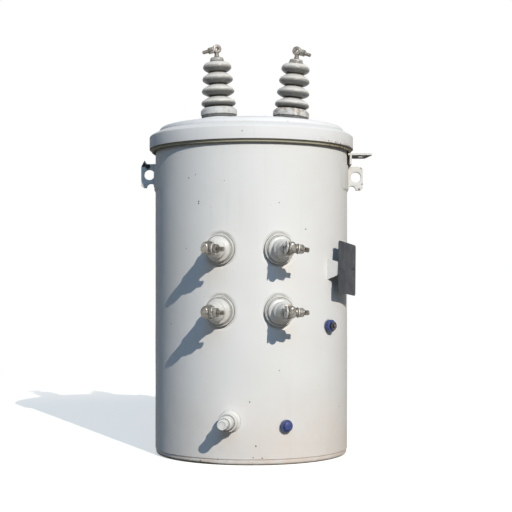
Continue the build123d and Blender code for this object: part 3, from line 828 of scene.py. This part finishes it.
def hv_profile():
    """The porcelain from its foot up, each shed a lens on the neck."""
    line = [(0, 12), (24.7, 12), (24.7, 21.4), (24.0, 22.0), (19.6, 22.4)]
    for k, radius in enumerate(shed_radii):
        z = first_shed + shed_pitch * k
        reach = radius - neck
        line += flowing([(neck, z - 11.6), (neck + 0.16 * reach, z - 10.7),
                         (neck + 0.5 * reach, z - 8.8), (neck + 0.87 * reach, z - 5.0),
                         (radius, z - 0.9), (neck + 0.87 * reach, z + 4.7),
                         (neck + 0.5 * reach, z + 9.1),
                         (neck if k < 3 else 15.4, z + (13.6 if k < 3 else 10.2))], 4)
    return line + [(14.9, hv_top - 0.1), (0, hv_top - 0.1)]


hv_body = lathe(hv_profile(), 128)
cap_profiles = {
    "left": [(0, hv_top), (15.8, hv_top, 0.4), (15.8, hv_top + 1.4, 0.4), (14.4, hv_top + 1.9),
             (15.0, hv_top + 3.0, 0.5), (13.5, cap_top - 0.5, 1.8), (5.2, cap_top, 0.5),
             (0, cap_top)],
    "right": [(0, hv_top), (15.8, hv_top, 0.5), (15.8, hv_top + 3.5, 0.8),
              (14.0, hv_top + 4.0), (14.6, hv_top + 4.8, 0.5), (13.5, cap_top - 0.5, 1.8),
              (5.2, cap_top, 0.5), (0, cap_top)],
}


def make_eye():
    """A rod through an eye, the eye's ring pinched where it meets the rod."""
    form = Form(lathe(soften([(0, hv_top), (4.6, hv_top), (4.6, cap_top + 0.2, 0.3),
                              (5.4, cap_top + 1.2, 0.8), (5.4, cap_top + 4.6, 0.8),
                              (4.5, cap_top + 6, 0.4), (5.0, eye_z - 7.5), (0, eye_z - 7.5)],
                             closed=False, steps=3), 48))
    barrel = ring(soften([(3.6, -6, 0.7), (9.5, -6, 1.8), (9.5, 6, 1.8), (3.6, 6, 0.7)], steps=4),
                  64)
    return form.add(barrel, moved(0, 0, eye_z) @ turned(90, "X"))


def eye_bolt_place(droop):
    """Local z is outward from the eye's centre and down by the droop."""
    angle = math.radians(droop)
    out = Vector((math.cos(angle), 0, -math.sin(angle)))
    across = Vector((0, 1, 0))
    place = Matrix((across, out.cross(across), out)).transposed().to_4x4()
    place.translation = (0, 0, eye_z)
    return place


def ring_paint():
    """The right hand ring carries a rust stain."""
    look = Look("hv_ring_paint")
    color = look.mix(look.band(look.noise(30, 4), 0.35, 0.65), (0.62, 0.615, 0.59),
                     (0.53, 0.525, 0.495))
    stain = look.times(look.band(look.noise(120, 4), 0.46, 0.58),
                       look.band(look.part("X"), 0.0, 0.02))
    color = look.mix(look.times(stain, 0.8), color, (0.33, 0.24, 0.17))
    film = look.band(look.noise(130, 3), 0.56, 0.64)
    color = look.mix(look.times(film, 0.4), color, (0.25, 0.23, 0.2))
    # Painted shade in the corners.
    color = look.mix(look.times(look.corner(6), 0.7), color, (0.12, 0.11, 0.09))
    normal = look.bump(look.noise(300, 3), 0.08)
    return look.finish(color, look.band(look.noise(60, 3), 0.3, 0.7, 0.45, 0.65), normal)


hv_bolt = Form(threaded(3.9, 3.8, 33, 1.25)).add(hex_nut(13.5, 11.4, 18.4, 3.2))
hv_bolt.add(drum(5.4, 18.3, 19.6, 0.4, 32))
hv_washer = washer(3.9, 7.2, 9.8, 11.4, 0.4, 48)
hv_ring_paint = ring_paint()
gaskets, bolt_washers = Form(), Form()
for side, place in hv_places.items():
    turned_place = place @ turned(hv_turn_angles[side], "Z")
    bolt_at = turned_place @ eye_bolt_place(hv_droop_angles[side])
    gaskets.add(hv_gasket, place)
    bolt_washers.add(hv_washer, bolt_at)
    cap = lathe(soften(cap_profiles[side], False, 3), 72)
    dress_bushing(f"hv_{side}_", (
        ("base_ring", "ring", hv_foot_ring, place, hv_ring_paint, "cover_paint"),
        ("insulator", "porcelain", hv_body, place, hv_glaze, "hv_porcelain"),
        ("top_cap", "cap", cap, place, cap_metal, "cap_metal"),
        ("eye", "terminal", make_eye(), turned_place, tinned_metal, "tinned_metal"),
        ("eye_bolt", "clamp_bolt", hv_bolt, bolt_at, tinned_metal, "tinned_metal")))
piece("hv_seals", gaskets, worn_rubber, ["hv_gaskets"])


# Low voltage bushings -----------------------------------------------------------------------

lv_body = lathe(soften([(0, 2.5), (30, 2.5, 0.8), (30, 10.5, 2.3), (28.3, 10.5, 0.2),
                        (28.1, 9.3, 0.2), (27.6, 9.3, 0.2), (27.4, 10.5, 0.2), (25.8, 10.5, 0.2),
                        (25.5, 9.8, 0.1), (25.5, 18.5, 3),
                        (18.5, 20.5, 3), (17.5, 29.5, 5), (20, 32.3, 1.6), (20, 36.5, 1.6),
                        (16.7, 40.2, 4), (14.6, 60, 1.6), (7, 60), (0, 60)],
                       closed=False, steps=4), 96)
lv_top, disc_low, disc_top = 60.0, 64.5, 67.5
lv_seal = washer(16.5, 30, 0, 2.5, 0.7, 96)
lv_spacer = drum(10, lv_top, disc_low, 0.6)
lv_rod = Form(drum(14.5, disc_low, disc_top, 0.7), threaded(6.5, disc_top, 76, 1.75))
connector_radius, connector_top = 12.0, 96.5
connector_narrow = 0.72
connector_shape = lathe(soften([(0, disc_top), (connector_radius, disc_top, 1.2),
                                (connector_radius, connector_top, 9.6), (0, connector_top)],
                               False, 8), 96)
cable_z, cable_radius = 84.0, 6.5
# along the clamp screw, from the cable's centre: the boss, the washer and the nut
screw_radius = 4.9
boss_end, nut_low, nut_high = 12.6, 14.4, 23.4
clamp_washer = washer(screw_radius, 10.4, boss_end, nut_low, 0.5)
back_washer = washer(screw_radius, 11.9, -10.9, -8.7, 0.5, 72)
clamp_screw = Form(threaded(screw_radius, 6.8, 36, 1.5), hex_nut(18, nut_low, nut_high, 4.2),
                   washer(4.8, 7.6, nut_high, 25.4, 0.6), drum(9.0, 6.0, boss_end, 0.8, 48))


def bored(form, cutter):
    """What is left of a form once the cutter is taken out of it."""
    made = [bpy.data.objects.new("bored", mesh_of("bored", shape)) for shape in (form, cutter)]
    for thing in made:
        bpy.context.scene.collection.objects.link(thing)
    body, bore = made
    cut = body.modifiers.new("bore", "BOOLEAN")
    cut.operation = "DIFFERENCE"
    cut.solver = "EXACT"
    cut.object = bore
    result = body.evaluated_get(bpy.context.evaluated_depsgraph_get()).to_mesh()
    points = [vertex.co / mm for vertex in result.vertices]
    faces = [list(face.vertices) for face in result.polygons]
    for thing in made:
        mesh = thing.data
        bpy.data.objects.remove(thing)
        bpy.data.meshes.remove(mesh)
    return Form((points, faces))


def make_connector():
    """A domed block, narrower than its solid and centred on the same stud, bored for the cable."""
    cable = Form().add(drum(cable_radius, -16, 16, 0.1, 48),
                       moved(0, 0, cable_z) @ turned(90, "X"))
    narrow = Matrix.Diagonal((connector_narrow, 1, 1, 1))
    return bored(Form().add(connector_shape, narrow), cable)


def clamp_place(turn):
    return turned(-turn, "Z") @ moved(0, 0, cable_z) @ turned(90, "Y")


connector = make_connector()
seals, spacers = Form(), Form()
for key, place in lv_places.items():
    clamp_at = place @ clamp_place(lv_turn_angles[key])
    seals.add(lv_seal, place)
    spacers.add(lv_spacer, place)
    bolt_washers.add(clamp_washer, clamp_at)
    if key.endswith("right"):
        bolt_washers.add(back_washer, clamp_at)
    block_at = place @ turned(-lv_turn_angles[key], "Z")
    dress_bushing(f"lv_{key}_", (
        ("insulator", "porcelain", lv_body, place, lv_glaze, "lv_porcelain"),
        ("rod", "stud", lv_rod, place, clamp_metal, "tinned_metal"),
        ("clamp_screw", "clamp_bolt", clamp_screw, clamp_at, clamp_metal, "tinned_metal"),
        ("cable_block", "connector", connector, block_at, clamp_metal, "tinned_metal")))
piece("lv_seals", seals, rubber, ["lv_gaskets"])
# The spacers are black rubber, which also paints the shade in the gap between the porcelain and the
# disc.
piece("lv_spacers", spacers, rubber)
piece("bolt_washers", bolt_washers, washer_metal)


# Lifting lugs and brackets ------------------------------------------------------------------

# which way each lug points, its hole's height, its reach, the hole's place and the ear's rise
lug_sizes = {"left": (-1, 593.7, 31.0, 13.6, 8.6), "right": (1, 588.5, 34.0, 19.0, 0.0)}
# the pads' heights, half their angle and their thickness
pad_low, pad_high, pad_half, pad_t = 553.0, 611.0, 28, 2.5


def make_pad(facing):
    """The plate under a lug, thinning into the wall at both its ends."""
    steps, fade_steps, end_share = 56, 16, 0.27
    inner, outer = tank_radius - 1, tank_radius + pad_t
    rows = soften([(inner, pad_low), (outer, pad_low + 7, 4), (outer, pad_high, 0.8),
                   (inner, pad_high)], steps=3)
    points = []
    for i in range(steps + 1):
        share = end_share + (1 - end_share) * eased(min(i, steps - i) / fade_steps)
        points += [on_side(90 * facing - pad_half + 2 * pad_half * i / steps, z,
                           inner + (r - inner) * share) for r, z in rows]
    return capped_sweep(points, len(rows))


def make_lug(side):
    facing, z, reach, hole_x, ear = lug_sizes[side]
    scallop = [(10 + 9 * math.cos(a), -28 + 9 * math.sin(a))
               for a in (math.radians(180 - 15 * k) for k in range(13))]
    outline = [(-3, -28), (1, -28)] + scallop
    outline += [(reach - 5, -28, 1.2), (reach, -23, 1.2), (reach, 17, 1.2)]
    if ear:
        outline += [(reach - 7, 23 + ear, 1.0), (reach - 12, 23.2, 2.0)]
    else:
        outline += [(reach - 6, 23, 1.5)]
    outline = soften(outline + [(-3, 23)], steps=3)
    place = Matrix(((facing, 0, 0, facing * tank_radius), (0, 0, -facing, 0), (0, 1, 0, z),
                    (0, 0, 0, 1)))
    form = Form().add(plate(outline, -5, 5, 0.9, [circle(hole_x, 0, 11)]), place)
    form.add(make_pad(facing))
    foot_x = facing * (tank_radius + pad_t - 0.1)
    for y in (-1, 1):
        line = run([(foot_x, y * 5.2, z - 27), (foot_x, y * 5.2, z + 22)])
        form.add(bead([(p, Vector((facing, y, 0)).normalized()) for p in line], 4.5, 2.0))
    return form


for side in lug_sizes:
    piece(f"lug_and_pad_{side}", make_lug(side), lug_paint,
          [f"lifting_lug_{side}"])

for name in ("arrester_bracket", "nameplate_bracket", "pole_hanger_upper", "pole_hanger_lower"):
    dress(name, bracket_paint)
    round_edges(name, 0.7)
for name in ("ground_boss", "sample_boss"):
    dress(name, fitting_paint)
dress("ground_bolt", dark_steel)
dress("ground_washer", blue_plastic)


# Nameplate ----------------------------------------------------------------------------------

plate_azimuth = 60.0
plate_z = 391.4
plate_back = 226.0
plate_half_width, plate_half_height = 40.0, 53.0
plate_t = 1.6
plate_lean, plate_roll = -2.3, -6.1
rivet_x = 31
plate_place = side_place(plate_azimuth, plate_z, plate_back) @ turned(plate_lean, "X")
board = plate(soften([(x * plate_half_width, y * plate_half_height, 5)
                      for x, y in ((-1, -1), (1, -1), (1, 1), (-1, 1))]), 0, plate_t, 0.4)
rivet = lathe(soften([(0, -2.5), (1.5, -2.5), (1.5, 1.2), (3, 1.2), (3, 2.2, 0.6), (1.6, 3.2, 0.8),
                      (0, 3.2)], closed=False, steps=3), 32)
piece("nameplate_board", Form().add(board, plate_place @ turned(plate_roll, "Z")), plate_paint,
      ["nameplate"])
rivets = Form()
for x in (-rivet_x, rivet_x):
    rivets.add(rivet, plate_place @ moved(x, 0, 0))
piece("nameplate_rivets", rivets, plate_paint)


# Sample plug and drain ----------------------------------------------------------------------

sample_azimuth, sample_z = 19.2, 78.5
drain_azimuth, drain_z = -12.1, 87.0
sample_place = side_place(sample_azimuth, sample_z, tank_radius)
sample = lathe(soften([(0, 6), (12.3, 6, 0.8), (12.3, 11, 1.5), (8.2, 11.2, 0.5), (6.2, 11.6, 0.4),
                       (6.2, 12.8, 0.3), (0, 12.8)], closed=False, steps=4), 64)
sample_hex = hex_nut(15, 12.4, 17)
piece("sample_knob", Form().add(Form(sample, sample_hex), sample_place), blue_plastic,
      ["sample_plug"])

drain_place = side_place(drain_azimuth, drain_z, tank_radius)
coupling = lathe(soften([(0, -3), (22.5, -3), (22.5, 0.3, 0.5), (19.4, 4.6, 2), (18.4, 8.0, 2),
                         (18.4, 16.8, 0.5), (19, 17.4, 0.6), (19, 22, 1.2), (13, 22, 0.4), (0, 22)],
                        closed=False, steps=4), 96)
drain_body = lathe(soften([(0, 22), (14.5, 22), (14.5, 43, 4), (12.2, 46, 1.0), (9, 46.2, 0.4),
                           (9, 48.8, 0.4), (10.3, 49.2, 0.5), (10.3, 65.6, 0.4), (9.2, 67, 0.4),
                           (7.2, 67, 0.3), (6.8, 66.2, 0.3), (0, 66.2)],
                          closed=False, steps=4), 80)
piece("drain_socket", Form().add(coupling, drain_place), fitting_paint,
      ["drain_coupling"])
piece("drain_spout", Form().add(drain_body, drain_place), fitting_paint,
      ["drain_plug"])


# Stage --------------------------------------------------------------------------------------

def make_floor():
    """White where the camera sees it, with the shadow kept, and a dull floor for the bounce."""
    look = Look("floor")
    floor = look.finish((0.115, 0.11, 0.10), 0.9)
    seen = look.node("BsdfDiffuse", Color=(0.92, 0.88, 0.80, 1)).outputs[0]
    glow = look.node("Emission", Color=(1.0, 1.0, 0.98, 1), Strength=0.52).outputs[0]
    both = look.node("AddShader", seen, glow).outputs[0]
    white = look.node("Emission", Strength=1.0).outputs[0]
    away = look.node("VectorMath", look.where, settings={"operation": "LENGTH"})
    far = look.band(away.outputs["Value"], 1.0, 2.6)
    near_white = look.node("MixShader", far, both, white).outputs[0]
    ray = look.node("LightPath").outputs
    shader = look.surface.outputs[0]
    for kind, shown in (("Camera", near_white), ("Glossy", white), ("Transmission", white)):
        shader = look.node("MixShader", ray[f"Is {kind} Ray"], shader, shown).outputs[0]
    look.tree.links.new(shader, look.tree.nodes["Material Output"].inputs["Surface"])
    mesh = bpy.data.meshes.new("floor")
    half = 30.0
    mesh.from_pydata([(-half, -half, 0), (half, -half, 0), (half, half, 0), (-half, half, 0)], [],
                     [[0, 1, 2, 3]])
    mesh.materials.append(floor)
    made = bpy.data.objects.new("floor", mesh)
    bpy.context.scene.collection.objects.link(made)


def make_world():
    world = bpy.data.worlds.new("studio")
    bpy.context.scene.world = world
    world.use_nodes = True
    tree = world.node_tree
    shader = tree.nodes["Background"]
    shader.inputs["Color"].default_value = (0.57, 0.75, 1.0, 1)
    shader.inputs["Strength"].default_value = 0.22
    white = tree.nodes.new("ShaderNodeBackground")
    white.inputs["Color"].default_value = (1, 1, 1, 1)
    ray = tree.nodes.new("ShaderNodeLightPath")
    for kind in ("Is Camera Ray", "Is Glossy Ray", "Is Transmission Ray"):
        choose = tree.nodes.new("ShaderNodeMixShader")
        tree.links.new(ray.outputs[kind], choose.inputs[0])
        tree.links.new(shader.outputs[0], choose.inputs[1])
        tree.links.new(white.outputs[0], choose.inputs[2])
        shader = choose
    tree.links.new(shader.outputs[0], tree.nodes["World Output"].inputs["Surface"])


lamps_aim_z = 0.35


def make_lamp(name, azimuth, elevation, distance, size, power, color):
    """A round lamp, turned towards the middle of the tank."""
    data = bpy.data.lights.new(name, "AREA")
    data.shape = "DISK"
    data.size = size
    data.energy = power
    data.color = color
    lamp = bpy.data.objects.new(name, data)
    bpy.context.scene.collection.objects.link(lamp)
    out = out_at(azimuth) * math.cos(math.radians(elevation))
    out.z = math.sin(math.radians(elevation))
    lamp.location = out * distance + Vector((0, 0, lamps_aim_z))
    lamp.rotation_euler = out.to_track_quat("Z", "Y").to_euler()


def make_camera():
    data = bpy.data.cameras.new("camera")
    data.sensor_width = 36.0
    data.lens = 83.46
    data.shift_x = 0.0092
    data.shift_y = 0.0605
    camera = bpy.data.objects.new("camera", data)
    camera.location = (0, -2.549, 0.3534)
    camera.rotation_euler = (math.radians(90), 0, 0)
    bpy.context.scene.collection.objects.link(camera)
    bpy.context.scene.camera = camera


make_floor()
make_world()
make_lamp("key", 23.5, 30, 14.0, 0.08, 1875, (1.0, 0.95, 0.875))
make_lamp("sky", 0, 35, 10.0, 7.0, 190, (0.18, 0.52, 1.0))
make_lamp("rim", 190, 30, 6.0, 3.0, 14, (0.92, 0.96, 1.0))
make_camera()
bpy.context.scene.view_settings.view_transform = "Standard"
